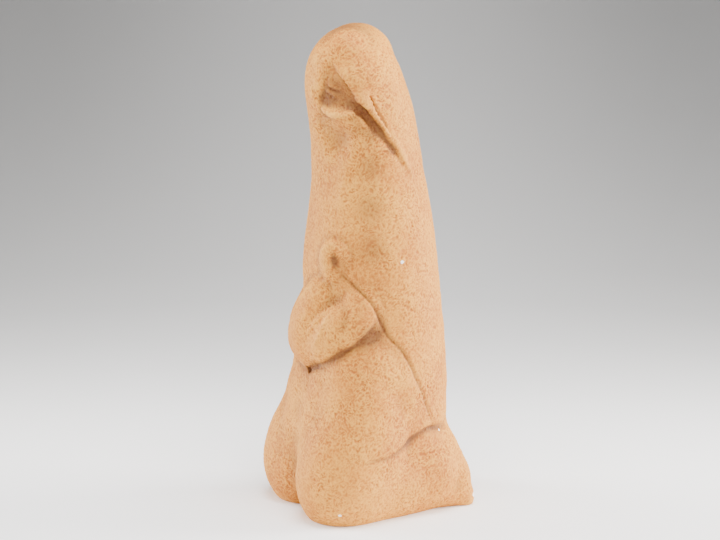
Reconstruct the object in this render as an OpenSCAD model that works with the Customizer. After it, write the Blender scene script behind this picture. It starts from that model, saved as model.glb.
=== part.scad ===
// Kneeling hooded woman holding a small child, a solid sculpted figure in cast plaster.
// The figure faces -Y, her left side is +X, the floor is z = 0.
// Every sculpted mass is its own solid; neighbours meet face to face along the creases.

/* [Overall] */
// height from the floor to the top of the hood, mm
figure_h = 298; // [150:1:600]
// how much wider than deep the robe is
robe_widening = 1.06; // [0.9:0.01:1.3]

/* [Robe and veil] */
// radius of the crown of the hood, mm at the nominal height
crown_r = 24.6; // [18:0.1:30]
// radius of the robe at the shoulders, mm at the nominal height
shoulder_r = 33.2; // [26:0.1:40]
// radius of the robe at the seat, mm at the nominal height
seat_r = 42.4; // [34:0.1:50]
// steepness of the lower edge of the veil, degrees below level toward the back
veil_slope = 51.5; // [30:0.5:70]
// thickness of the rolled hem beside the face, mm radius
hem_r = 3.8; // [1:0.1:6]

/* [Head] */
// how far the face is turned toward the child, degrees
face_turn = 37; // [0:1:50]
// half width of the face in the opening of the hood, mm
face_w = 15; // [10:0.5:22]
// half height of the face, mm
face_h = 21; // [16:0.5:30]
// depth the face is set into the hood, mm
face_d = 12; // [6:0.5:20]
// radius of the jaw, mm
jaw_r = 5.5; // [3:0.1:9]

/* [Child and hands] */
// radius of the child's head, mm
child_r = 9.3; // [6:0.1:14]
// thickness of the hand masses, mm radius
hand_r = 16.5; // [10:0.1:20]

/* [Lap and legs] */
// half distance between the knees, mm
knee_x = 28.5; // [18:0.5:40]
// radius of the knee, mm
knee_r = 25.5; // [18:0.5:32]
// radius of the thigh at the hip, mm
hip_r = 32; // [24:0.5:40]
// how far the feet reach behind the middle of the figure, mm
foot_reach = 51.5; // [35:0.5:75]

/* [Hidden] */
nominal_h = 298;
k = figure_h / nominal_h;
$fn = 26;
clay = [0.76, 0.53, 0.34];
clay_light = [0.83, 0.63, 0.44];
clay_dark = [0.66, 0.43, 0.26];

// robe and hood: one leaning column of swelling rounds, each [x, y, z, radius]
column_line = [
    [0, -9.5, nominal_h - crown_r, crown_r],
    [0, -12.3, 262.3, crown_r + 3],
    [0, -9.5, 248, crown_r + 5],
    [0, -5.8, 234, shoulder_r - 2.3],
    [0, -2.8, 220, shoulder_r - 1.3],
    [0, -0.8, 205, shoulder_r],
    [0, 0.8, 189, shoulder_r + 2],
    [0, 1.2, 171, seat_r - 4.8],
    [0, 1.5, 150, seat_r - 2.4],
    [0, 2.4, 124, seat_r - 0.8],
    [0, 4, 94, seat_r],
    [0, 5.5, 62, seat_r - 0.4],
    [0, 7, 34, seat_r - 5],
    [0, 8, 10, seat_r - 13]
];

// the veil is the part of the column behind this edge point and slope
veil_edge_y = -19.5;
veil_edge_z = 247.6;

// the face, turned and bowed to her left; the jaw stands proud of the robe
face_at = [16.5, -32, 262.5];
jaw_line = [
    [10.5, -34.6, 252.5, jaw_r - 1],
    [13.5, -33.2, 248, jaw_r - 0.4],
    [18, -30.4, 245.2, jaw_r + 0.2],
    [24, -24.8, 247, jaw_r - 0.2],
    [28, -19.5, 249.5, jaw_r - 1.5]
];

// rolled hem of the veil from beside the chin back over the shoulder
hem_line = [
    [28.6, -17.6, 251.5, hem_r],
    [29.8, -12, 244.5, hem_r * 0.9],
    [30.9, -6, 236.5, hem_r * 0.75],
    [31.8, 0, 228, hem_r * 0.6],
    [32.3, 6, 218.5, hem_r * 0.45],
    [32.2, 12, 208, hem_r * 0.25]
];

// the child, carried on her left side
child_line = [
    [18.5, -28.8, 159.5, child_r],
    [18.0, -28.6, 156.5, child_r],
    [17.0, -28.0, 151.0, child_r * 0.9]
];
child_body_line = [
    [12, -29, 143, 9.5],
    [9, -32, 135, 12.5],
    [5, -35, 125, 14.5],
    [1, -35.5, 115, 15.5],
    [-1, -31.5, 101, 15.5]
];
left_hand_line = [
    [26.5, -15, 144, hand_r - 8],
    [27.0, -15.5, 134, hand_r - 3],
    [26.5, -19, 123, hand_r],
    [22.0, -25, 115, hand_r + 1.2],
    [15.0, -30, 107, hand_r + 0.5]
];
right_hand_line = [
    [-26.5, -15, 144, hand_r - 8],
    [-27.0, -15.5, 134, hand_r - 3],
    [-26.0, -19, 123, hand_r],
    [-20.0, -26, 115, hand_r],
    [-11.0, -31.5, 110, hand_r - 1]
];

// one leg, drawn on the +X side: the lap from hip and seat down to the knee
lap_rounds = [
    [20, -13, 101, hip_r - 8.5],
    [18, -3, 84, hip_r - 3.5],
    [22, 4, 66, hip_r - 8.5],
    [25.5, -18, 52, hip_r - 3.5],
    [12, -22, 80, hip_r - 10.5]
];
knee_line = [
    [25.5, -18, 52, hip_r - 3.5],
    [knee_x - 1, -26.5, 38, knee_r + 1.5],
    [knee_x, -31, 26, knee_r]
];
inner_lap_line = [
    [12, -22, 80, hip_r - 10.5],
    [13, -28.5, 52, hip_r - 9.5],
    [17, -32, 28, hip_r - 11]
];
// shin on the floor, then the foot standing up behind it
shin_line = [
    [knee_x - 3, -29, 16, knee_r],
    [knee_x - 3, -14, 17, knee_r - 2],
    [knee_x - 3, 2, 18, knee_r - 3.5],
    [knee_x - 4, 16, 20, knee_r - 5],
    [knee_x - 4, 27, 24, knee_r - 6]
];
foot_rounds = [
    [knee_x - 4, 18, 18, knee_r - 6.5],
    [knee_x - 4, 27, 24, knee_r - 6],
    [knee_x - 4.5, foot_reach - 16, 36, knee_r - 14.5],
    [knee_x - 1, foot_reach - 6.5, 22, knee_r - 17],
    [knee_x + 1.5, foot_reach, 4, knee_r - 20.5]
];
reach = 200;

// a point on the smooth curve through b and c, between a and d
function between(a, b, c, d, t) =
    b + (c - a) * t / 2
    + (a * 2 - b * 5 + c * 4 - d) * t * t / 2
    + (b * 3 - a - c * 3 + d) * t * t * t / 2;

// a line of rounds made smoother, with n steps from each round to the next
function smooth_line(line, n) = [
    for (i = [0:len(line) - 2])
        for (j = [0:n - 1])
            between(line[max(i - 1, 0)], line[i], line[i + 1], line[min(i + 2, len(line) - 1)], j / n),
    line[len(line) - 1]
];

module round_at(b) {
    translate([b[0], b[1], b[2]]) sphere(b[3]);
}

// a run of rounds, each hulled to the next
module run(line, n) {
    rounds = smooth_line(line, n);
    for (i = [0:len(rounds) - 2])
        hull() {
            round_at(rounds[i]);
            round_at(rounds[i + 1]);
        }
}

// several rounds hulled into one mass
module mass(rounds) {
    hull()
        for (b = rounds)
            round_at(b);
}

// everything above the floor on her left side
module left_half() {
    translate([0, -reach, 0]) cube([reach, 2 * reach, 2 * reach]);
}

module column_form() {
    scale([robe_widening, 1, 1]) run(column_line, 1);
}

// the space above the lower edge of the veil: level in front, falling away behind
module veil_space() {
    translate([0, veil_edge_y, veil_edge_z]) rotate([-veil_slope, 0, 0])
        translate([-reach, 0, 0]) cube([2 * reach, reach, reach]);
    translate([-reach, -reach, veil_edge_z]) cube([2 * reach, 2 * reach, reach]);
}

// the opening of the hood, turned toward the child
module face_space() {
    translate(face_at) rotate([0, 0, face_turn])
        scale([face_w, face_d, face_h]) sphere(1, $fn = 40);
}

module jaw_form() {
    run(jaw_line, 2, $fn = 20);
}

module head_form() {
    intersection() {
        column_form();
        face_space();
    }
    jaw_form();
}

// what the head takes out of the hood and the robe
module head_room() {
    face_space();
    jaw_form();
}

module hem_form() {
    run(hem_line, 2, $fn = 16);
}

module child_head_form() {
    run(child_line, 4, $fn = 20);
}

module child_form() {
    run(child_body_line, 2);
}

module left_hand_form() {
    run(left_hand_line, 2);
}

module right_hand_form() {
    run(right_hand_line, 2);
}

module hands_and_child() {
    left_hand_form();
    right_hand_form();
    child_form();
    child_head_form();
}

module leg_form() {
    intersection() {
        union() {
            run(shin_line, 2);
            mass(foot_rounds);
        }
        left_half();
    }
}

module thigh_form() {
    intersection() {
        union() {
            mass(lap_rounds);
            run(knee_line, 3);
            run(inner_lap_line, 2);
        }
        left_half();
    }
}

module robe() {
    color(clay) scale(k) difference() {
        column_form();
        translate([-reach, -reach, -reach]) cube([2 * reach, 2 * reach, reach]);
        veil_space();
        head_room();
        hem_form();
        mirror([1, 0, 0]) hem_form();
        hands_and_child();
        leg_form();
        mirror([1, 0, 0]) leg_form();
        thigh_form();
        mirror([1, 0, 0]) thigh_form();
    }
}

module veil() {
    color(clay_light) scale(k) difference() {
        intersection() {
            column_form();
            veil_space();
        }
        head_room();
        hem_form();
        mirror([1, 0, 0]) hem_form();
    }
}

module left_hem() {
    color(clay_dark) scale(k) difference() {
        hem_form();
        head_room();
    }
}

module right_hem() {
    color(clay_dark) scale(k) difference() {
        mirror([1, 0, 0]) hem_form();
        head_room();
    }
}

module head() {
    color(clay_dark) scale(k) head_form();
}

module child_head() {
    color(clay_dark) scale(k) child_head_form();
}

module child_body() {
    color(clay_light) scale(k) difference() {
        child_form();
        child_head_form();
        left_hand_form();
        right_hand_form();
    }
}

module left_hand() {
    color(clay_dark) scale(k) difference() {
        left_hand_form();
        child_head_form();
    }
}

module right_hand() {
    color(clay_dark) scale(k) difference() {
        right_hand_form();
        left_hand_form();
        child_head_form();
    }
}

module left_thigh() {
    color(clay_light) scale(k) difference() {
        thigh_form();
        leg_form();
        hands_and_child();
    }
}

module right_thigh() {
    color(clay_light) scale(k) difference() {
        mirror([1, 0, 0]) thigh_form();
        mirror([1, 0, 0]) leg_form();
        hands_and_child();
    }
}

module left_leg() {
    color(clay) scale(k) leg_form();
}

module right_leg() {
    color(clay) scale(k) mirror([1, 0, 0]) leg_form();
}

robe();
veil();
left_hem();
right_hem();
head();
child_head();
child_body();
left_hand();
right_hand();
left_thigh();
right_thigh();
left_leg();
right_leg();
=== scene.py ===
"""Kneeling hooded figure with a small child, cast in plaster and given a sandy terracotta patina.

The whole figure is modelled like clay: rounds are pressed together in a distance field, creases
are cut and ridges laid on, and the skin of the field is taken as one fine mesh.
That mesh is then cut along its creases into the pieces of the CAD part.
Lengths in the sculpting part are millimetres on a figure of the nominal height, and MM scales
them to the frame.
"""
import math

import bmesh
import bpy
import numpy as np
import openvdb
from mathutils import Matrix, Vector


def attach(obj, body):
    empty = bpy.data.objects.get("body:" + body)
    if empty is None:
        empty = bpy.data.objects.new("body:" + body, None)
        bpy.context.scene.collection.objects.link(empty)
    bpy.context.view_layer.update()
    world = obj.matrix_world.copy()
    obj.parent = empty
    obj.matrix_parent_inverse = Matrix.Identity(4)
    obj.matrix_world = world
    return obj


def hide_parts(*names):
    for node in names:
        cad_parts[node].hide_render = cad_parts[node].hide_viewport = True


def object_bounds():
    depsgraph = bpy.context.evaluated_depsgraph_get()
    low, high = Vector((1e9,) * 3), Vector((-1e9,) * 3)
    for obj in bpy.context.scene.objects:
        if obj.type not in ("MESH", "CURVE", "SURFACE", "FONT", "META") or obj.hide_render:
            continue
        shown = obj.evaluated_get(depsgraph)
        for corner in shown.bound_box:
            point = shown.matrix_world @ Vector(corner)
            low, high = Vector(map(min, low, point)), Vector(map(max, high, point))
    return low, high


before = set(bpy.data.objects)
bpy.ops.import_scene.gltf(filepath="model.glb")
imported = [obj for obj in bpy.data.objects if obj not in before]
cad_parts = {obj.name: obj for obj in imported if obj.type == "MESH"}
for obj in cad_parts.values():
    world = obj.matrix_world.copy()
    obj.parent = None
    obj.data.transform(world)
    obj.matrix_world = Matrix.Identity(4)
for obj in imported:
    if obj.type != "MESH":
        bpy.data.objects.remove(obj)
cad_low, cad_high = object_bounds()

NOMINAL_H = 298.0
H = cad_high.z - cad_low.z
MM = H / NOMINAL_H

# spacing of the clay's values, and of those of the cutters that divide it
STEP = 0.6
CUT_STEP = 2.0
# distances are kept only this far from the skin
FAR = 12.0
MARGIN = 0.6 * FAR + 2
SEED = 7

# ---------------------------------------------------------------- distance-field clay


def mixed_min(a, b, k):
    """The smaller of two distances, rounded where they meet within k."""
    h = np.maximum(k - np.abs(a - b), 0.0) / k
    return np.minimum(a, b) - h * h * k * 0.25


def mixed_max(a, b, k):
    """The larger of two distances, rounded in the same way."""
    return -mixed_min(-a, -b, k)


def smooth01(x):
    """A smooth step from 0 to 1, clipped at both ends."""
    x = np.clip(x, 0.0, 1.0)
    return x * x * (3.0 - 2.0 * x)


def round_cone(x, y, z, a, b):
    """Distance to the hull of two balls, each (x, y, z, radius)."""
    axis = np.array(b[:3]) - np.array(a[:3])
    drop = a[3] - b[3]
    l2 = float(axis @ axis)
    a2 = l2 - drop * drop
    px, py, pz = x - a[0], y - a[1], z - a[2]
    along = px * axis[0] + py * axis[1] + pz * axis[2]
    past = along - l2
    qx, qy, qz = px * l2 - axis[0] * along, py * l2 - axis[1] * along, pz * l2 - axis[2] * along
    x2 = qx * qx + qy * qy + qz * qz
    k = np.sign(drop) * drop * drop * x2
    near_b = np.sqrt(x2 + past * past * l2) / l2 - b[3]
    near_a = np.sqrt(x2 + along * along * l2) / l2 - a[3]
    side = (np.sqrt(x2 * a2 / l2) + along * drop) / l2 - a[3]
    at_b = np.sign(past) * a2 * past * past * l2 > k
    at_a = np.sign(along) * a2 * along * along * l2 < k
    return np.where(at_b, near_b, np.where(at_a, near_a, side))


def curve_through(line, n):
    """Catmull-Rom points on a line of rounds, n steps from each to the next."""
    p = np.array(line, float)
    out = []
    for i in range(len(p) - 1):
        a, b, c, d = p[max(i - 1, 0)], p[i], p[i + 1], p[min(i + 2, len(p) - 1)]
        for j in range(n):
            t = j / n
            out.append(b + (c - a) * t / 2 + (a * 2 - b * 5 + c * 4 - d) * t * t / 2
                       + (b * 3 - a - c * 3 + d) * t ** 3 / 2)
    out.append(p[-1])
    return np.array(out)


class Run:
    """A run of rounds, each hulled to the next."""

    def __init__(self, line, n=2, k=1.0, widen=1.0):
        self.rounds = curve_through(line, n)
        self.k = k
        self.widen = widen
        size = np.array([widen, 1, 1])
        self.low = ((self.rounds[:, :3] - self.rounds[:, 3:]) * size).min(0)
        self.high = ((self.rounds[:, :3] + self.rounds[:, 3:]) * size).max(0)

    def __call__(self, x, y, z):
        x = x / self.widen
        d = None
        for a, b in zip(self.rounds[:-1], self.rounds[1:]):
            e = round_cone(x, y, z, a, b)
            d = e if d is None else mixed_min(d, e, self.k)
        return d


class Ellipsoid:
    """An ellipsoid turned about its upright axis by some degrees."""

    def __init__(self, at, radii, turn=0.0):
        self.at, self.radii, self.turn = at, radii, math.radians(turn)
        reach = max(radii)
        self.low, self.high = np.array(at) - reach, np.array(at) + reach

    def __call__(self, x, y, z):
        c, s = math.cos(self.turn), math.sin(self.turn)
        dx, dy, dz = x - self.at[0], y - self.at[1], z - self.at[2]
        u, v = (dx * c + dy * s) / self.radii[0], (dy * c - dx * s) / self.radii[1]
        w = dz / self.radii[2]
        r = np.sqrt(u * u + v * v + w * w) + 1e-6
        g = np.sqrt((u / self.radii[0]) ** 2 + (v / self.radii[1]) ** 2 + (w / self.radii[2]) ** 2) + 1e-6
        return r * (r - 1.0) / g


class Mirrored:
    """The same form on her right side."""

    def __init__(self, form):
        self.form = form
        self.low = np.array([-form.high[0], form.low[1], form.low[2]])
        self.high = np.array([-form.low[0], form.high[1], form.high[2]])

    def __call__(self, x, y, z):
        return self.form(-x, y, z)


class Several:
    """Forms pressed together."""

    def __init__(self, *forms, k=3.0):
        self.forms, self.k = forms, k
        self.low = np.min([f.low for f in forms], axis=0)
        self.high = np.max([f.high for f in forms], axis=0)

    def __call__(self, x, y, z):
        d = self.forms[0](x, y, z)
        for f in self.forms[1:]:
            d = mixed_min(d, f(x, y, z), self.k)
        return d


class Side:
    """A form kept to her left of the middle plane."""

    def __init__(self, form):
        self.form = form
        self.low, self.high = np.maximum(form.low, (0, -999, -999)), form.high

    def __call__(self, x, y, z):
        return np.maximum(self.form(x, y, z), -x + 0 * y + 0 * z)


class Clay:
    """A block of distance values that forms are added to and cut from."""

    def __init__(self, low, high, step):
        self.step = step
        self.low = np.array(low, float)
        self.n = np.ceil((np.array(high) - self.low) / step).astype(int) + 1
        self.f = np.full(self.n, FAR, np.float32)

    def window(self, form, margin):
        """Slices of the block around a form, and the x, y and z of the values in them."""
        lo = np.clip(((form.low - margin - self.low) / self.step).astype(int), 0, self.n - 1)
        hi = np.clip(np.ceil((form.high + margin - self.low) / self.step).astype(int) + 1, 1, self.n)
        spans = tuple(slice(a, b) for a, b in zip(lo, hi))
        axes = [(self.low[i] + self.step * np.arange(lo[i], hi[i])).astype(np.float32) for i in range(3)]
        return spans, axes[0][:, None, None], axes[1][None, :, None], axes[2][None, None, :]

    def add(self, form, k):
        w, x, y, z = self.window(form, MARGIN)
        self.f[w] = mixed_min(self.f[w], form(x, y, z), k)

    def cut(self, form, k):
        w, x, y, z = self.window(form, MARGIN)
        self.f[w] = mixed_max(self.f[w], -form(x, y, z), k)

    def sample(self, p):
        """Trilinear values of the field at points, an (n, 3) array."""
        q = (p - self.low) / self.step
        i = np.clip(q.astype(int), 0, self.n - 2)
        t = (q - i).astype(np.float32)
        out = np.zeros(len(p), np.float32)
        for dx in (0, 1):
            wx = t[:, 0] if dx else 1 - t[:, 0]
            for dy in (0, 1):
                wy = t[:, 1] if dy else 1 - t[:, 1]
                for dz in (0, 1):
                    wz = t[:, 2] if dz else 1 - t[:, 2]
                    out += self.f[i[:, 0] + dx, i[:, 1] + dy, i[:, 2] + dz] * wx * wy * wz
        return out

    def gradient(self, p):
        """Unit directions out of the clay at points."""
        h = self.step
        g = np.stack([self.sample(p + d) - self.sample(p - d) for d in np.eye(3) * h], axis=1)
        return g / (np.linalg.norm(g, axis=1, keepdims=True) + 1e-6)

    def skin(self):
        """Points and four-sided faces of the zero surface."""
        grid = openvdb.FloatGrid(background=FAR)
        grid.copyFromArray(self.f)
        points, _, quads = grid.convertToPolygons(isovalue=0.0, adaptivity=0.0)
        return points * self.step + self.low, quads


def blurred(f, cells):
    """Box blur of a block of values, twice along each axis."""
    for axis in (0, 1, 2, 0, 1, 2):
        pad = [(0, 0)] * 3
        pad[axis] = (cells + 1, cells)
        s = np.cumsum(np.pad(f, pad, mode="edge"), axis=axis, dtype=np.float64)
        n = f.shape[axis]
        top = np.take(s, range(2 * cells + 1, 2 * cells + 1 + n), axis=axis)
        bottom = np.take(s, range(n), axis=axis)
        f = ((top - bottom) / (2 * cells + 1)).astype(np.float32)
    return f


# ---------------------------------------------------------------- noise

EDGES = np.array([(1, 1, 0), (-1, 1, 0), (1, -1, 0), (-1, -1, 0), (1, 0, 1), (-1, 0, 1),
                  (1, 0, -1), (-1, 0, -1), (0, 1, 1), (0, -1, 1), (0, 1, -1), (0, -1, -1)], np.float32)


def noise(p, seed=0):
    """Gradient noise at points, about -1 to 1."""
    cell = np.floor(p)
    t = (p - cell).astype(np.float32)
    cell = cell.astype(np.int64)
    u = t * t * t * (t * (t * 6 - 15) + 10)
    out = np.zeros(len(p), np.float32)
    for dx in (0, 1):
        for dy in (0, 1):
            for dz in (0, 1):
                c = cell + (dx, dy, dz)
                h = (c[:, 0] * 73856093) ^ (c[:, 1] * 19349663) ^ (c[:, 2] * 83492791) ^ (seed * 2654435761)
                h = (h ^ (h >> 13)) * 1274126177 & 0x7FFFFFFF
                h ^= h >> 15
                g = EDGES[h % 12]
                d = t - np.array((dx, dy, dz), np.float32)
                w = ((u[:, 0] if dx else 1 - u[:, 0]) * (u[:, 1] if dy else 1 - u[:, 1])
                     * (u[:, 2] if dz else 1 - u[:, 2]))
                out += (g * d).sum(1) * w
    return out


# ---------------------------------------------------------------- the figure, in millimetres

CROWN_R, SHOULDER_R, SEAT_R = 24.6, 33.2, 42.4
ROBE_WIDENING = 1.06
KNEE_X, KNEE_R, HIP_R, FOOT_REACH = 28.5, 25.5, 32.0, 51.5

column = Run([
    (0, -8.6, NOMINAL_H - CROWN_R + 3, CROWN_R - 3), (0, -12.2, 268.5, CROWN_R + 1.8),
    (0, -10.2, 260, CROWN_R + 4.2), (0, -7.4, 249, CROWN_R + 5.6), (0, -5.0, 237, SHOULDER_R - 2.2),
    (0, -2.7, 220, SHOULDER_R - 1.0), (0, -1.2, 205, SHOULDER_R), (0, -0.2, 189, SHOULDER_R + 2.4),
    (0, 0.2, 171, SEAT_R - 4.4), (0, 0.4, 150, SEAT_R - 1.8), (0, 2.2, 124, SEAT_R - 0.8),
    (0, 4, 94, SEAT_R), (0, 5.5, 62, SEAT_R - 0.4), (0, 7, 34, SEAT_R - 5), (0, 8, 10, SEAT_R - 13)],
    n=2, k=2.0, widen=ROBE_WIDENING)

# outline of the head, where it is divided from the hood and the robe
face = Ellipsoid((16.5, -32, 262.5), (15, 12, 21), turn=37)
jaw = Run([(10.5, -34.9, 252.5, 4.5), (13.5, -33.6, 248, 5.1), (18, -30.8, 245.2, 5.7),
           (24, -25.2, 247, 5.3), (28, -19.5, 249.5, 4)], n=2, k=2.0)

# the face is turned and bowed toward the child: the jaw stands proud, and what lies under it
# and between it and the edge of the hood is hollowed
muzzle = Run([(8.3, -30.8, 256.5, 8.8), (13, -29.5, 250.5, 9.5), (19.5, -25, 246.5, 10.5),
              (26, -18.5, 249, 8)], n=2, k=3.0)
under_jaw = Several(
    Run([(4.5, -47.5, 241.5, 10.5), (12.2, -44.6, 235.5, 11.5), (22, -38.8, 229.6, 12),
         (31.6, -32, 232.5, 11), (37, -25, 238, 8)], n=2),
    Run([(12.2, -44.6, 235.5, 11.5), (14, -65, 205, 30)], n=1),
    Run([(22, -38.8, 229.6, 12), (30, -60, 200, 30)], n=1), k=6.0)
cheek_fall = Several(
    Run([(19, -46, 253.5, 10.8), (33.5, -34, 253, 11)], n=1),
    Run([(19, -46, 253.5, 10.8), (23, -40.5, 269, 7)], n=1),
    Run([(33.5, -34, 253, 11), (23, -40.5, 269, 7)], n=1), k=6.0)
brow = Run([(5, -25.5, 275.5, 10.5), (12, -20, 282, 11)], n=1)

hem = Run([(28.0, -17.2, 252.5, 1.4), (29.6, -12.5, 245, 2.5), (30.9, -6, 236.5, 2.8),
           (31.8, 0, 228, 2.3), (32.3, 6, 218.5, 1.7), (32.2, 12, 208, 0.95)], n=3, k=1.0)
# the veil ends at this y and z beside the chin, and its edge falls toward the back at this slope
VEIL_EDGE = (-19.5, 247.6)
VEIL_SLOPE = math.radians(51.5)

child_head = Run([(20.3, -31.2, 160.5, 9.6), (19.8, -31.0, 156.5, 9.4), (18.0, -29.6, 151.0, 8.6)],
                 n=2, k=1.0)
child_body = Run([(12, -29, 143, 9.5), (9, -32, 135, 12.5), (5, -35, 125, 14.5), (1, -36, 113, 16),
                  (-1, -32.5, 101, 15.5)], n=2, k=2.0)
left_hand = Run([(26.5, -15, 144, 8.0), (27.0, -15.5, 134, 13.5), (26.5, -19, 123, 16.5),
                 (22.0, -25, 115, 17.7), (15.0, -30, 107, 17)], n=2, k=2.0)
right_hand = Run([(-26.5, -15, 144, 8.0), (-27.0, -15.5, 134, 13.5), (-26.0, -19, 123, 16.5),
                  (-20.0, -27, 113, 16.5), (-11.0, -33, 105, 15.5)], n=2, k=2.0)

lap = Several(
    Run([(20, -13, 101, HIP_R - 8.5), (18, -3, 84, HIP_R - 3.5), (22, 4, 66, HIP_R - 8.5)], n=2, k=4.0),
    Run([(20, -13, 101, HIP_R - 8.5), (25.5, -18, 52, HIP_R - 3.5), (KNEE_X - 1, -26.5, 38, KNEE_R + 1.5),
         (KNEE_X, -31, 26, KNEE_R)], n=3, k=4.0),
    Run([(22, 4, 66, HIP_R - 8.5), (25.5, -18, 52, HIP_R - 3.5)], n=1),
    Run([(12, -22, 80, HIP_R - 10.5), (13, -28.5, 52, HIP_R - 9.5), (17, -32, 28, HIP_R - 11)], n=2), k=3.0)
shin = Several(
    Run([(KNEE_X - 3, -29, 16, KNEE_R), (KNEE_X - 3, -14, 17, KNEE_R - 2), (KNEE_X - 3, 2, 18, KNEE_R - 3.5),
         (KNEE_X - 4, 16, 20, KNEE_R - 5), (KNEE_X - 4, 27, 24, KNEE_R - 6)], n=2, k=3.0),
    Run([(KNEE_X - 4, 27, 24, KNEE_R - 6), (KNEE_X - 4.5, FOOT_REACH - 16, 36, KNEE_R - 14.5),
         (KNEE_X - 1, FOOT_REACH - 6.5, 22, KNEE_R - 17), (KNEE_X + 1.5, FOOT_REACH, 4, KNEE_R - 20.5)],
        n=3, k=3.0),
    Run([(KNEE_X - 4, 18, 18, KNEE_R - 6.5), (KNEE_X + 1.5, FOOT_REACH, 4, KNEE_R - 20.5)], n=1),
    Run([(KNEE_X - 4, 22, 26, KNEE_R - 9), (KNEE_X - 1, FOOT_REACH - 6.5, 20, KNEE_R - 17)], n=1), k=5.0)
left_thigh, left_leg = Side(lap), Side(shin)

clay = Clay((-64, -66, -6), (64, 66, 306), STEP)


def both(form):
    """The form on her left and on her right."""
    return form, Mirrored(form)


clay.add(column, 1.0)
clay.add(brow, 6.0)
# the face falls back from the brow and from the edge of the hood, and the chest from the jaw
clay.add(muzzle, 6.0)
clay.cut(cheek_fall, 5.0)
clay.cut(under_jaw, 3.0)
for form in both(hem):
    clay.add(form, 3.5)
clay.add(Several(lap, Mirrored(lap), k=9.0), 2.0)
for form in both(shin):
    clay.add(form, 12.0)
clay.add(Several(child_body, right_hand, left_hand, k=5.0), 2.5)
clay.add(child_head, 3.0)

# deep pit beside the chin and the groove that runs from it under the hem; a thin one above the hem
for form in both(Run([(26.5, -24.5, 250.2, 0.8), (30.0, -19.8, 247.6, 2.9), (31.2, -16.2, 243.5, 2.4),
                      (32.3, -11.8, 238.2, 1.9), (33.9, -6.3, 231.5, 1.5), (35.1, 0, 223.5, 1.1),
                      (35.6, 6, 215.5, 0.7), (35.6, 12, 207.5, 0.2)], n=3)):
    clay.cut(form, 2.8)
for form in both(Run([(31.6, -14.8, 255.3, 0.8), (33.0, -10.8, 247.5, 0.8), (34.3, -5.2, 238.5, 0.9),
                      (35.3, 0.5, 228.8, 0.7), (35.8, 5, 221, 0.3)], n=3)):
    clay.cut(form, 1.0)
# small pit where the hands meet the lap
clay.cut(Run([(1.5, -42, 88.5, 2.2), (1, -38, 88.5, 1.4)], n=1), 1.2)

# flat underside
levels = clay.low[2] + clay.step * np.arange(clay.n[2])
clay.f = mixed_max(clay.f, -levels[None, None, :].astype(np.float32), 0.6)

# ---------------------------------------------------------------- the fine skin


def flow(p, size, seed):
    """Three noises that bend a pattern, each about -1 to 1."""
    return np.stack([noise(p / size, seed + i) for i in range(3)], axis=1)


def swell(p):
    """Slow unevenness of the hand-pressed surface, in millimetres."""
    return 0.45 * noise(p / 26, SEED) + 0.22 * noise(p / 9, SEED + 1)


def worked_surface(p):
    """Height of the hand-worked surface over the smooth one, in millimetres."""
    bent = p + flow(p, 5.0, SEED + 2) * 1.5
    worms = 1.0 - np.abs(noise(bent / 1.6, SEED + 5)) * 3.6
    finer = 1.0 - np.abs(noise(bent / 1.15 + 31.7, SEED + 6)) * 3.0
    patch = 0.6 + 0.4 * smooth01(noise(p / 14, SEED + 7) + 0.5)
    return swell(p) + patch * (0.30 * worms + 0.12 * finer)


def mesh_object(name, points, polys):
    """A mesh object from an (n, 3) array in millimetres and an (m, k) array of corners."""
    mesh = bpy.data.meshes.new(name)
    mesh.vertices.add(len(points))
    mesh.vertices.foreach_set("co", (points * MM).astype(np.float32).ravel())
    k = polys.shape[1]
    mesh.loops.add(polys.size)
    mesh.loops.foreach_set("vertex_index", polys.astype(np.int32).ravel())
    mesh.polygons.add(len(polys))
    mesh.polygons.foreach_set("loop_start", np.arange(0, polys.size, k, dtype=np.int32))
    mesh.update(calc_edges=True)
    mesh.validate()
    o = bpy.data.objects.new(name, mesh)
    bpy.context.scene.collection.objects.link(o)
    return o


def tooled(p, normals, line, width, groove=0.0, ridge=0.0, raised=0.0, fade=7.0):
    """Height of a line worked along the surface, each of its points (x, y, z, strength).

    The groove lies along the line. The ridge lies beside it, to the left of its run as seen from
    outside, and raised lifts that whole side and fades away from the line.
    """
    curve = curve_through(line, 4)
    curve[:, :3] = settled(curve[:, :3])[0]
    reach = max(3 * width, 2.5 * fade if raised else 0.0, 6.0)
    near = np.all((p > curve[:, :3].min(0) - reach) & (p < curve[:, :3].max(0) + reach), axis=1)
    q, n = p[near], normals[near]
    best = np.full(len(q), 1e9, np.float32)
    side = np.zeros(len(q), np.float32)
    power = np.zeros(len(q), np.float32)
    for a, b in zip(curve[:-1], curve[1:]):
        run = b[:3] - a[:3]
        t = np.clip((q - a[:3]) @ run / (run @ run), 0.0, 1.0)
        away = q - a[:3] - t[:, None] * run
        d = np.linalg.norm(away, axis=1)
        left = (np.cross(n, run) * away).sum(1)
        closer = d < best
        best = np.where(closer, d, best)
        side = np.where(closer, np.sign(left), side)
        power = np.where(closer, a[3] + (b[3] - a[3]) * t, power)
    s = side * best
    h = -groove * np.exp(-(s / width) ** 2) + ridge * np.exp(-((s - 1.6 * width) / width) ** 2)
    if raised:
        h += raised * smooth01(s / (1.2 * width) + 0.5) * np.exp(-np.maximum(s, 0.0) / fade)
    out = np.zeros(len(p), np.float32)
    out[near] = h * power
    return out


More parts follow.
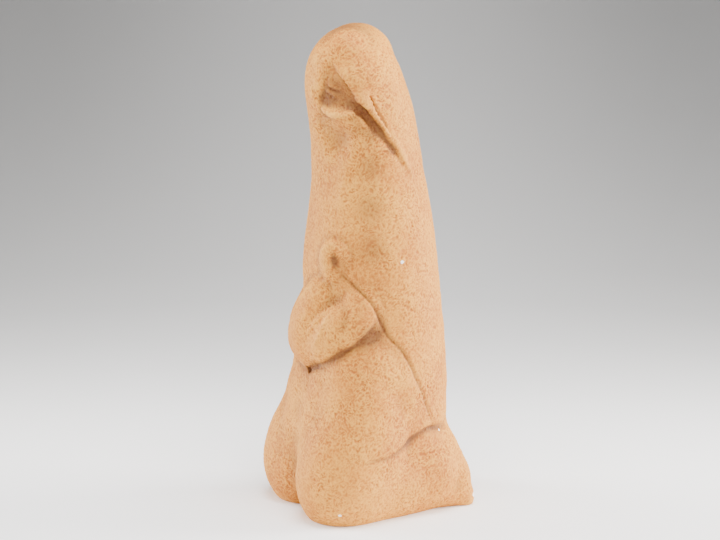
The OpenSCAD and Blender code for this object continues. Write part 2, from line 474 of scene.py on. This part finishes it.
TOOLED = [
    # edge of the hood over the cheek, from the brow to the pit
    dict(line=[(18.5, -33.5, 275, 0.2), (21.5, -31.5, 269.5, 1), (26.4, -26.6, 261.5, 1.2),
               (29, -22.5, 253.5, 0.6), (31, -18.5, 247, 0.0)],
         width=1.1, groove=0.5, raised=0.9, fade=10.0),
    # underside of the jaw; through the creases its groove is also painted as the shadow under the jaw
    dict(line=[(7.5, -39, 248, 0.3), (11.5, -37.8, 242, 1), (17.7, -34, 239.6, 1), (23.5, -29.5, 240.8, 1),
               (28.5, -23.5, 243.5, 0.8), (30.5, -19.5, 246.5, 0.3)],
         width=2.0, groove=0.9, ridge=0.5),
    # bones of the cheek
    dict(line=[(14, -36, 262, 0.2), (18, -34, 259.5, 1), (23.5, -30, 257.5, 0.3)],
         width=1.1, groove=0.5, ridge=0.5),
    dict(line=[(13, -36.5, 257.5, 0.2), (17, -34.5, 255.5, 1), (22, -31, 252.5, 0.3)],
         width=1.1, groove=0.45, ridge=0.45),
    # her left cheekbone, down to the corner of the jaw
    dict(line=[(10.5, -38, 268, 0.2), (11.5, -38.5, 260, 1), (9.8, -38.7, 251, 0.8)], width=2.0, ridge=-0.7),
    # hem on the shoulder
    dict(line=[(33.3, -13.5, 243.5, 0.3), (34.6, -6, 233.5, 1), (35.5, 2, 221.5, 0.8), (35.5, 9, 211, 0.3)],
         width=1.0, ridge=0.4),
    # upper right edge of the hand, running on as the crease between the robe and the lap
    dict(line=[(24.5, -33, 152.5, 0.2), (28.2, -29.4, 148.5, 0.8), (32.3, -25.5, 143.9, 1.2),
               (38.3, -19.7, 136, 1.6), (40.8, -15.5, 128.9, 1.5), (42.3, -11.5, 120.5, 1.2),
               (43.4, -7.5, 112.9, 1.2), (44.6, -0.9, 106, 1.2), (46.5, 4.2, 98.7, 1.2),
               (47.4, 10.6, 86.5, 1), (46, 15, 77.4, 1), (43.6, 19.5, 66.1, 1), (41.5, 22.3, 59, 0.7),
               (39.5, 25, 54, 0.1)],
         width=0.9, groove=0.9, ridge=-0.3),
    # lower edge of the hands over the lap, to the notch
    dict(line=[(42, -14.5, 124, 0.3), (41.2, -17.5, 119.5, 1), (36.2, -26.5, 108.8, 1.3),
               (29.5, -34.6, 101.8, 1.3), (24.3, -39.2, 97, 1.2), (14, -44.3, 91.5, 1), (6, -44, 89, 1),
               (1, -40.5, 88, 1)],
         width=1.4, groove=0.7),
    # fingers
    dict(line=[(27.6, -36.5, 129, 0.2), (26.2, -40.7, 120.5, 1), (23.5, -46, 110.5, 1),
               (20.5, -47.8, 104, 0.2)],
         width=1.7, groove=-0.8),
    dict(line=[(28.3, -33.8, 133, 0.2), (23, -40, 127, 1), (17.9, -44.8, 119, 1), (14, -47.5, 111, 0.2)],
         width=1.6, groove=-0.75),
    dict(line=[(12, -37.8, 146, 0.2), (8, -41, 137.5, 1), (3.5, -45.5, 129, 1), (0.5, -48, 120, 0.2)],
         width=1.8, groove=-0.7),
    # hollow of the palm
    dict(line=[(30, -33, 131, 0.4), (34.2, -30, 126, 1), (34.5, -32, 119.5, 1), (32, -36, 113, 0.3)],
         width=4.2, groove=1.1),
    # rim around the child's face and the hollow in it
    dict(line=[(19.5, -35.6, 158, 0.3), (21.5, -35.2, 164, 1), (25.2, -33, 168, 1), (28.5, -29.4, 166, 1),
               (29.5, -27.5, 160, 0.9), (29.3, -27.6, 154, 0.2)], width=1.4, groove=-0.7),
    dict(line=[(25, -35, 162.5, 0.7), (25.4, -34.5, 158.9, 1), (25, -34, 155.5, 0.7)],
         width=3.0, groove=2.0),
    # crease over the folded lower leg
    dict(line=[(30, 36.2, 51.5, 0.2), (38, 25, 53.5, 1), (42.5, 17.7, 53, 1), (45.4, 3.4, 46.9, 1),
               (51.5, -12, 42.1, 1), (53.5, -21, 41.4, 0.8), (52.5, -34, 38.5, 0)],
         width=2.1, groove=1.5),
]


def settled(p):
    """Points brought onto the smooth skin of the clay, and the directions out of it."""
    n = clay.gradient(p)
    p = p - n * clay.sample(p)[:, None]
    return p - n * clay.sample(p)[:, None], n


points, quads = clay.skin()
points, normals = settled(points)
relief = worked_surface(points)
for row in TOOLED:
    relief += tooled(points, normals, **row)
# the underside stays flat
off_floor = smooth01((points[:, 2] - 0.3) / 2.0)
points = points + normals * (relief * off_floor)[:, None]
figure = mesh_object("figure", points, quads)

# ---------------------------------------------------------------- cutting into pieces


def cutter(form, more, name):
    """A closed smooth solid, `more` millimetres bigger all round than the form."""
    block = Clay(form.low - more - 6, form.high + more + 6, CUT_STEP)
    w, x, y, z = block.window(form, 8)
    block.f[w] = form(x, y, z) - more
    points, quads = block.skin()
    return mesh_object(name, points, quads)


def veil_cutter():
    """A prism across the figure that holds all above and behind the veil's edge."""
    far = 400.0
    y0, z0 = VEIL_EDGE
    outline = [(-far, z0), (y0, z0), (far, z0 - (far - y0) * math.tan(VEIL_SLOPE)), (far, far), (-far, far)]
    points = np.array([(x, y, z) for x in (-far, far) for y, z in outline])
    mesh = bpy.data.meshes.new("veil_cutter")
    n = len(outline)
    faces = [tuple(range(n - 1, -1, -1)), tuple(range(n, 2 * n))]
    faces += [(i, (i + 1) % n, n + (i + 1) % n, n + i) for i in range(n)]
    mesh.from_pydata((points * MM).tolist(), [], faces)
    o = bpy.data.objects.new("veil_cutter", mesh)
    bpy.context.scene.collection.objects.link(o)
    bm = bmesh.new()
    bm.from_mesh(mesh)
    bmesh.ops.recalc_face_normals(bm, faces=bm.faces)
    bm.to_mesh(mesh)
    bm.free()
    return o


def boolean(target, tool, operation):
    """A new mesh of the target, kept inside the tool or cut by it."""
    m = target.modifiers.new("cut", "BOOLEAN")
    m.solver = "MANIFOLD"
    m.operation = operation
    m.object = tool
    dg = bpy.context.evaluated_depsgraph_get()
    out = bpy.data.meshes.new_from_object(target.evaluated_get(dg))
    target.modifiers.remove(m)
    return out


def split_off(rest, tool, name):
    """Takes the part of the rest inside the tool away as its own piece."""
    inside = boolean(rest, tool, "INTERSECT")
    rest.data = boolean(rest, tool, "DIFFERENCE")
    piece = bpy.data.objects.new(name, inside)
    bpy.context.scene.collection.objects.link(piece)
    bpy.data.objects.remove(tool)
    return piece


# each piece is taken from what the ones before it have left
cutters = [
    ("head", cutter(Several(face, jaw, k=0.5), 0.3, "cut_head")),
    ("left_hem", cutter(hem, 0.7, "cut_left_hem")),
    ("right_hem", cutter(Mirrored(hem), 0.7, "cut_right_hem")),
    ("child_head", cutter(child_head, 0.8, "cut_child_head")),
    ("left_hand", cutter(left_hand, 0.8, "cut_left_hand")),
    ("right_hand", cutter(right_hand, 0.8, "cut_right_hand")),
    ("child_body", cutter(child_body, 0.8, "cut_child_body")),
    ("left_leg", cutter(left_leg, 0.7, "cut_left_leg")),
    ("right_leg", cutter(Mirrored(left_leg), 0.7, "cut_right_leg")),
    ("left_thigh", cutter(left_thigh, 0.7, "cut_left_thigh")),
    ("right_thigh", cutter(Mirrored(left_thigh), 0.7, "cut_right_thigh")),
    ("veil", veil_cutter()),
]
made = {}
for node_name, tool in cutters:
    made[node_name] = split_off(figure, tool, "worked_" + node_name)
made["robe"] = figure
figure.name = "worked_robe"

# ---------------------------------------------------------------- finish of the surface

# chips in the patina: centre, radius
CHIPS = [((42.3, 1.9, 157.5), 1.7), ((36.5, 31.0, 51.0), 1.6), ((48.8, -41.3, 9.0), 1.8),
         ((33.5, 56.0, 6.0), 2.2)]
# places painted darker (or, below zero, paler): painted shade where shade falls, painted light on lit sides,
# rubbed wear and patina tone; centre, reach, amount
PATINA_SHADE_AND_LIGHT = [
    # painted shade: the face in the shade of the hood
    ((22, -32, 258), 11, 0.6), ((15, -36, 252), 7, 0.5),
    # front of the shoulder, down to the hand
    ((32, -13, 236), 8, 0.45), ((33.5, -14.5, 214), 9, 0.45), ((35.5, -15.5, 190), 10, 0.45),
    ((37.5, -15, 165), 10, 0.45),
    # outside of her right knee
    ((-28, -50, 30), 22, 0.25),
    # painted shade in the pit beside the chin and in the groove below it
    ((30.5, -19.5, 246.5), 6, 1.2), ((33.5, -9, 236), 5, 1.0), ((34.8, -1, 224.5), 4, 0.9),
    ((28, -23.5, 250.5), 5, 0.6),
    # painted shade in the child's face, and under the hands
    ((25.5, -34, 158.5), 4.5, 0.9), ((40, -19, 114), 9, 0.8), ((31, -33, 103), 6, 0.4),
    ((2, -40, 89), 4, 0.7),
    # crown and shoulder
    ((0, -14, 292), 24, 0.85), ((31, -16, 232), 7, 0.2),
    # rubbed forehead; painted light on the cheekbone, chest, leg and side of the hood
    ((5.5, -37, 276.5), 4.5, -0.9), ((9.5, -39, 261), 4, -0.6), ((24, -32, 214), 8, -0.35),
    ((20, -34, 190), 8, -0.25), ((46, 0, 22), 26, -0.35), ((40, 20, 250), 30, -0.3),
]


def hollows(reach):
    """Block of values that are positive over swells and negative in hollows about as wide as reach."""
    block = Clay(clay.low, clay.low + (clay.n - 1) * clay.step, clay.step)
    block.f = blurred(np.clip(clay.f, -2 * reach, 2 * reach), max(1, int(round(reach / STEP))))
    return block


narrow_hollows, broad_hollows = hollows(2.0), hollows(5.0)


def paint(o):
    """Vertex values that the patina is driven by: fine relief (0 to 1), creases with painted shade and
    painted light (-1 to 1) and chips.
    """
    mesh = o.data
    p = np.empty(len(mesh.vertices) * 3, np.float32)
    mesh.vertices.foreach_get("co", p)
    p = p.reshape(-1, 3) / MM
    under, n = settled(p)
    relief = 0.5 + 1.1 * (worked_surface(under) - swell(under))
    # darker in the narrow hollows, where the patina gathers, and painted shade over the broad hollows
    crease_shade_and_light = -0.7 * narrow_hollows.sample(under) - 0.35 * (broad_hollows.sample(under) - 0.35)
    # darker along the tooled grooves and paler on their ridges; under the jaw this is painted shadow
    for row in TOOLED:
        crease_shade_and_light -= 0.5 * tooled(under, n, **row)
    # painted shade, painted light and rubbed wear at the listed places
    for at, reach, amount in PATINA_SHADE_AND_LIGHT:
        crease_shade_and_light += amount * np.exp(-((p - np.array(at)) ** 2).sum(1) / reach ** 2)
    crease_shade_and_light = np.clip(crease_shade_and_light, -1, 1)
    chip = np.full(len(p), 9.0, np.float32)
    for at, r in CHIPS:
        chip = np.minimum(chip, np.linalg.norm(p - np.array(at), axis=1) / r)
    for name, values in (("relief", relief), ("crease_shade_and_light", crease_shade_and_light), ("chip", chip)):
        attribute = mesh.attributes.new(name, "FLOAT", "POINT")
        attribute.data.foreach_set("value", values.astype(np.float32))


# colours of the patina, linear light
BROWN, TERRACOTTA, SAND = (0.41, 0.130, 0.008, 1), (0.47, 0.165, 0.011, 1), (0.53, 0.208, 0.018, 1)
DIP, RUBBED = (0.27, 0.068, 0.006, 1), (0.75, 0.37, 0.05, 1)
# the crease colour is also painted shade, and the worn colour also painted light
CREASE_AND_SHADE, WORN_AND_LIT = (0.085, 0.022, 0.006, 1), (0.78, 0.41, 0.07, 1)
PLASTER = (0.86, 0.83, 0.78, 1)
BLACK, WHITE = (0, 0, 0, 1), (1, 1, 1, 1)


def patina():
    """Sandy terracotta patina over plaster: rubbed pale on the swells, browner in the creases. The dark
    brown is also painted shade in the shaded hollows, and the pale rubbed colour also painted light on lit
    sides and the cheekbone.
    """
    m = bpy.data.materials.new("patinated_plaster")
    m.use_nodes = True
    t = m.node_tree
    link = t.links.new
    bsdf = t.nodes["Principled BSDF"]
    where = t.nodes.new("ShaderNodeTexCoord")
    scale = t.nodes.new("ShaderNodeMapping")
    scale.inputs["Scale"].default_value = (1 / MM,) * 3
    link(where.outputs["Object"], scale.inputs["Vector"])
    place = scale.outputs["Vector"]

    def noise_of(size, detail, rough, distort=0.0):
        n = t.nodes.new("ShaderNodeTexNoise")
        n.inputs["Scale"].default_value = 1.0 / size
        n.inputs["Detail"].default_value = detail
        n.inputs["Roughness"].default_value = rough
        n.inputs["Distortion"].default_value = distort
        link(place, n.inputs["Vector"])
        return n.outputs["Fac"]

    def ramp(value, stops):
        n = t.nodes.new("ShaderNodeValToRGB")
        first, last = n.color_ramp.elements
        first.position, first.color = stops[0]
        last.position, last.color = stops[-1]
        for pos, col in stops[1:-1]:
            n.color_ramp.elements.new(pos).color = col
        link(value, n.inputs["Fac"])
        return n.outputs["Color"]

    def mix(kind, fac, a, b):
        n = t.nodes.new("ShaderNodeMix")
        n.data_type = "RGBA"
        n.blend_type = kind
        for socket, value in (("Factor_Float", fac), ("A_Color", a), ("B_Color", b)):
            target = next(s for s in n.inputs if s.identifier == socket)
            if isinstance(value, (int, float, tuple)):
                target.default_value = value
            else:
                link(value, target)
        return next(s for s in n.outputs if s.identifier == "Result_Color")

    def calc(op, a, b):
        n = t.nodes.new("ShaderNodeMath")
        n.operation = op
        for i, value in enumerate((a, b)):
            if isinstance(value, (int, float)):
                n.inputs[i].default_value = value
            else:
                link(value, n.inputs[i])
        return n.outputs[0]

    def attr(name):
        n = t.nodes.new("ShaderNodeAttribute")
        n.attribute_name = name
        return n.outputs["Fac"]

    broad = noise_of(34.0, 3, 0.5)
    speck = noise_of(1.5, 4, 0.62, 0.8)
    fine = noise_of(0.55, 3, 0.6)
    base = ramp(broad, [(0.36, BROWN), (0.5, TERRACOTTA), (0.64, SAND)])
    specks = ramp(speck, [(0.32, (0.80, 0.70, 0.60, 1)), (0.5, WHITE), (0.7, (1.10, 1.14, 1.20, 1))])
    mottled = mix("MULTIPLY", 0.6, base, specks)
    relief = attr("relief")
    dip = ramp(relief, [(0.15, WHITE), (0.5, BLACK)])
    rise = ramp(relief, [(0.5, BLACK), (0.8, WHITE)])
    dipped = mix("MIX", calc("MULTIPLY", dip, 0.55), mottled, DIP)
    rubbed = mix("MIX", calc("MULTIPLY", rise, 0.55), dipped, RUBBED)
    # darker above zero: patina in the creases and painted shade; paler below zero: rubbed wear and painted
    # light
    crease_shade_and_light = attr("crease_shade_and_light")
    deep = ramp(crease_shade_and_light, [(0.1, BLACK), (0.9, WHITE)])
    shaded = mix("MIX", calc("MULTIPLY", deep, 0.8), rubbed, CREASE_AND_SHADE)
    proud = ramp(calc("MULTIPLY", crease_shade_and_light, -1.0), [(0.1, BLACK), (0.9, WHITE)])
    worn_and_lit = mix("MIX", calc("MULTIPLY", proud, 0.4), shaded, WORN_AND_LIT)
    ragged = calc("ADD", attr("chip"), calc("MULTIPLY", fine, 0.6))
    colour = mix("MIX", ramp(ragged, [(0.98, WHITE), (1.0, BLACK)]), worn_and_lit, PLASTER)
    link(colour, bsdf.inputs["Base Color"])
    matt, less_matt = (0.82, 0.82, 0.82, 1), (0.66, 0.66, 0.66, 1)
    link(ramp(speck, [(0.3, matt), (0.7, less_matt)]), bsdf.inputs["Roughness"])
    bsdf.inputs["Specular IOR Level"].default_value = 0.35

    worms = t.nodes.new("ShaderNodeTexNoise")
    worms.noise_type = "RIDGED_MULTIFRACTAL"
    for key, value in (("Scale", 1 / 2.2), ("Detail", 3.0), ("Roughness", 0.55), ("Lacunarity", 2.1),
                       ("Offset", 0.9), ("Gain", 1.6), ("Distortion", 0.5)):
        worms.inputs[key].default_value = value
    link(place, worms.inputs["Vector"])
    height = calc("ADD", calc("MULTIPLY", worms.outputs["Fac"], 0.4), fine)
    bump = t.nodes.new("ShaderNodeBump")
    bump.inputs["Strength"].default_value = 0.35
    bump.inputs["Distance"].default_value = 0.25 * MM
    link(height, bump.inputs["Height"])
    link(bump.outputs["Normal"], bsdf.inputs["Normal"])
    return m


skin = patina()
for node_name, o in made.items():
    paint(o)
    o.data.materials.clear()
    o.data.materials.append(skin)
    o.data.shade_smooth()
    o.data.set_sharp_from_angle(angle=math.radians(50))
    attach(o, "root")
    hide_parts(node_name)

# ---------------------------------------------------------------- camera, lights, backdrop

AZIMUTH, ELEVATION = math.radians(66), math.radians(8.5)
AIM_RIGHT, AIM_UP, DISTANCE = -6.0 * MM, 147.0 * MM, 1051.0 * MM
right = Vector((math.cos(AZIMUTH), math.sin(AZIMUTH), 0))
toward = Vector((math.sin(AZIMUTH), -math.cos(AZIMUTH), 0))
back = toward * math.cos(ELEVATION) + Vector((0, 0, math.sin(ELEVATION)))
aim = right * AIM_RIGHT + Vector((0, 0, cad_low.z + AIM_UP))

lens = bpy.data.cameras.new("camera")
lens.lens = 85
lens.sensor_width = 36
camera = bpy.data.objects.new("camera", lens)
bpy.context.scene.collection.objects.link(camera)
camera.location = aim + back * DISTANCE
camera.rotation_mode = "QUATERNION"
camera.rotation_quaternion = (-back).to_track_quat("-Z", "Y")
bpy.context.scene.camera = camera


def softbox(name, at, size, power, warmth=1.0):
    """A square soft light aimed at the figure's middle.

    Its place is (right, up, toward the camera), and that and its size are in figure heights.
    """
    light = bpy.data.lights.new(name, "AREA")
    light.size = size * H
    light.energy = power
    light.color = (1.0, 0.5 + 0.5 * warmth, warmth)
    o = bpy.data.objects.new(name, light)
    bpy.context.scene.collection.objects.link(o)
    o.visible_camera = False
    o.location = right * at[0] * H + Vector((0, 0, at[1] * H)) + toward * at[2] * H
    direction = Vector((0, 0, 0.45 * H)) - o.location
    o.rotation_mode = "QUATERNION"
    o.rotation_quaternion = direction.to_track_quat("-Z", "Y")


softbox("softbox_left", (-2.6, 0.8, -0.5), 1.3, 14.0, 0.95)
softbox("softbox_right", (2.7, 0.9, -0.2), 1.3, 21.0, 0.93)
softbox("softbox_top", (0.1, 2.7, 0.6), 1.5, 12.0)
softbox("softbox_front", (0.5, 1.3, 3.2), 1.2, 9.0)
world = bpy.data.worlds.new("studio")
bpy.context.scene.world = world
world.use_nodes = True
sky = world.node_tree.nodes["Background"]
sky.inputs["Color"].default_value = (0.9, 0.88, 0.88, 1)
sky.inputs["Strength"].default_value = 0.2

# round paper sweep, in figure heights: a floor that curves up into a backdrop on every side,
# its paper pale near the figure, with painted shade that greys it with distance and darkens it to the left
# and right of the camera's view
FLAT, RADIUS, TOP, ROUND = 1.2, 5.0, 9.0, 96
# GREY and EDGE_GREY are painted shade on the pale paper
PALE, GREY, EDGE_GREY = 0.97, 0.64, 0.6


def sweep_grey_and_shade(distance, sideways):
    """Grey of the paper at a distance from the figure, so far to the side, darkened by painted shade."""
    away = smooth01(np.float64((distance - 0.5) / 1.9))
    edge = smooth01(np.float64(abs(sideways) / 1.5))
    return (PALE + (GREY - PALE) * away) * (1 - (1 - EDGE_GREY) * away * edge)


def paper_sweep():
    """The sweep as a surface of revolution about the figure's axis."""
    profile = [(d, 0.0) for d in np.linspace(0.0, FLAT, 9)]
    profile += [(FLAT + RADIUS * math.sin(a), RADIUS * (1 - math.cos(a)))
                for a in np.linspace(0.05, math.pi / 2, 24)]
    profile += [(FLAT + RADIUS, TOP)]
    spots, greys_and_shades, faces = [], [], []
    for i, (d, h) in enumerate(profile):
        for k, turn in enumerate(np.linspace(0, 2 * math.pi, ROUND, endpoint=False)):
            outward = right * math.cos(turn) + toward * math.sin(turn)
            spots.append(tuple(outward * (d * H) + Vector((0, 0, cad_low.z + h * H))))
            greys_and_shades.append(sweep_grey_and_shade(d, d * math.cos(turn)))
            if i:
                after = (k + 1) % ROUND
                inner, outer = (i - 1) * ROUND, i * ROUND
                faces.append((inner + k, inner + after, outer + after, outer + k))
    mesh = bpy.data.meshes.new("sweep")
    mesh.from_pydata(spots, [], faces)
    mesh.validate()
    mesh.shade_smooth()
    mesh.attributes.new("paper_grey_and_shade", "FLOAT", "POINT").data.foreach_set("value", np.array(greys_and_shades, np.float32))
    mesh.materials.append(paper())
    o = bpy.data.objects.new("sweep", mesh)
    bpy.context.scene.collection.objects.link(o)
    return o


def paper():
    """Matt paper whose grey, with its painted shade, is read from the mesh."""
    m = bpy.data.materials.new("paper")
    m.use_nodes = True
    bsdf = m.node_tree.nodes["Principled BSDF"]
    paper_grey_and_shade = m.node_tree.nodes.new("ShaderNodeAttribute")
    paper_grey_and_shade.attribute_name = "paper_grey_and_shade"
    m.node_tree.links.new(paper_grey_and_shade.outputs["Fac"], bsdf.inputs["Base Color"])
    bsdf.inputs["Roughness"].default_value = 0.8
    return m


sweep = paper_sweep()
